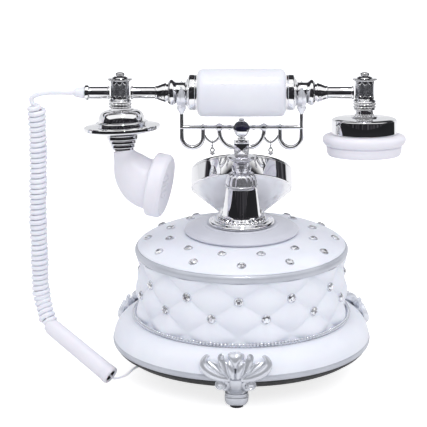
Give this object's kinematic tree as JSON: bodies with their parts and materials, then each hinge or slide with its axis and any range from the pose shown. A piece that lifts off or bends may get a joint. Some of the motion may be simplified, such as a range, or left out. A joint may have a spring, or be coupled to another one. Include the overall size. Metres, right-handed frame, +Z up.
{
  "type": "ornate cradle telephone",
  "caption": "Round quilted telephone base on leaf feet, with a chrome column, a tilted dial, and a bar handset with a bent horn lying in a forked cradle.",
  "frame": {"origin": "on the ground, under the middle of the whole telephone's box (the cord puts the base's axis 19.5 mm to +X and 2.9 mm to +Y of it)", "axes": "+Z up; the handset lies along X, with its earpiece at +X and its mouthpiece and cord at -X; the dial faces +Y and up"},
  "size_m": [0.298, 0.2118, 0.2494],
  "materials": {
    "white_resin": "semi-gloss cast resin",
    "white_plastic": "gloss",
    "silver_paint": "satin silver paint on cast resin",
    "chrome": "mirror",
    "black_plastic": "satin",
    "felt": "felt",
    "steel": "plain",
    "brass": "plain",
    "circuit_green": "solder mask"
  },
  "bodies": {
    "base": {"base_shell": "white_resin", "rim_trim_ring": "silver_paint", "bottom_plate": "black_plastic", "top_deck": "white_resin", "deck_trim_ring": "silver_paint", "bead_trim": "silver_paint", "foot_front": "silver_paint", "foot_left": "silver_paint", "foot_right": "silver_paint", "foot_pad_front": "felt", "foot_pad_left": "felt", "foot_pad_right": "felt", "pedestal_disc": "silver_paint", "column": "chrome", "column_capital": "chrome", "column_tube": "steel", "column_nut": "brass", "dial_cup": "chrome", "dial_bezel": "chrome", "number_plate": "white_plastic", "finger_stop": "chrome", "dial_mechanism": "steel", "circuit_board": "circuit_green", "ringer": "black_plastic", "hook_switch": "black_plastic", "switch_bracket": "steel", "line_jack": "black_plastic", "cord_coil": "white_plastic", "cord_sleeve": "white_plastic", "cord_tail": "white_plastic"},
    "dial": {"finger_wheel": "white_plastic", "dial_spindle": "chrome"},
    "ringer_knob": {"ringer_slider": "white_plastic"},
    "cradle": {"plunger_rod": "steel", "plunger_spring": "steel", "cradle_post": "chrome", "cradle_ball": "chrome", "cradle_arm_left": "chrome", "cradle_arm_right": "chrome", "cradle_fork_left": "chrome", "cradle_fork_right": "chrome"},
    "left_pendant": {"pendant_left": "chrome"},
    "right_pendant": {"pendant_right": "chrome"},
    "handset": {"grip": "white_plastic", "tie_rod": "steel", "ferrule_left": "chrome", "ferrule_right": "chrome", "stem_left": "chrome", "stem_right": "chrome", "tee_left": "chrome", "tee_right": "chrome", "mouth_bell": "chrome", "horn": "white_plastic", "horn_cap": "white_plastic", "microphone": "steel", "ear_cup": "chrome", "ear_cap": "white_plastic", "receiver": "steel", "cord_stub": "chrome", "cord_lead": "white_plastic"}
  },
  "joints": [
    {"name": "handset_lift", "type": "slide", "parent": "base", "child": "handset", "axis": [0, 0, 1], "range_m": [0, 0.07]},
    {"name": "cradle_rise", "type": "slide", "parent": "base", "child": "cradle", "axis": [0, 0, 1], "range_m": [0, 0.005], "deforming": ["plunger_spring"]},
    {"name": "dial_turn", "type": "hinge", "parent": "base", "child": "dial", "pos_m": [0.0195, 0.0519, 0.1527], "axis": [0, 0.5299, 0.848], "range_deg": [-330, 0]},
    {"name": "ringer_volume", "type": "slide", "parent": "base", "child": "ringer_knob", "axis": [1, 0, 0], "range_m": [-0.0025, 0.0025]},
    {"name": "left_pendant_swing", "type": "hinge", "parent": "cradle", "child": "left_pendant", "pos_m": [-0.0036, 0.0029, 0.1902], "axis": [1, 0, 0], "range_deg": [-30, 30]},
    {"name": "right_pendant_swing", "type": "hinge", "parent": "cradle", "child": "right_pendant", "pos_m": [0.0426, 0.0029, 0.1902], "axis": [1, 0, 0], "range_deg": [-30, 30]}
  ],
  "couplings": [
    {"joint": "cradle_rise", "follows": "handset_lift", "ratio": 0.071429}
  ]
}
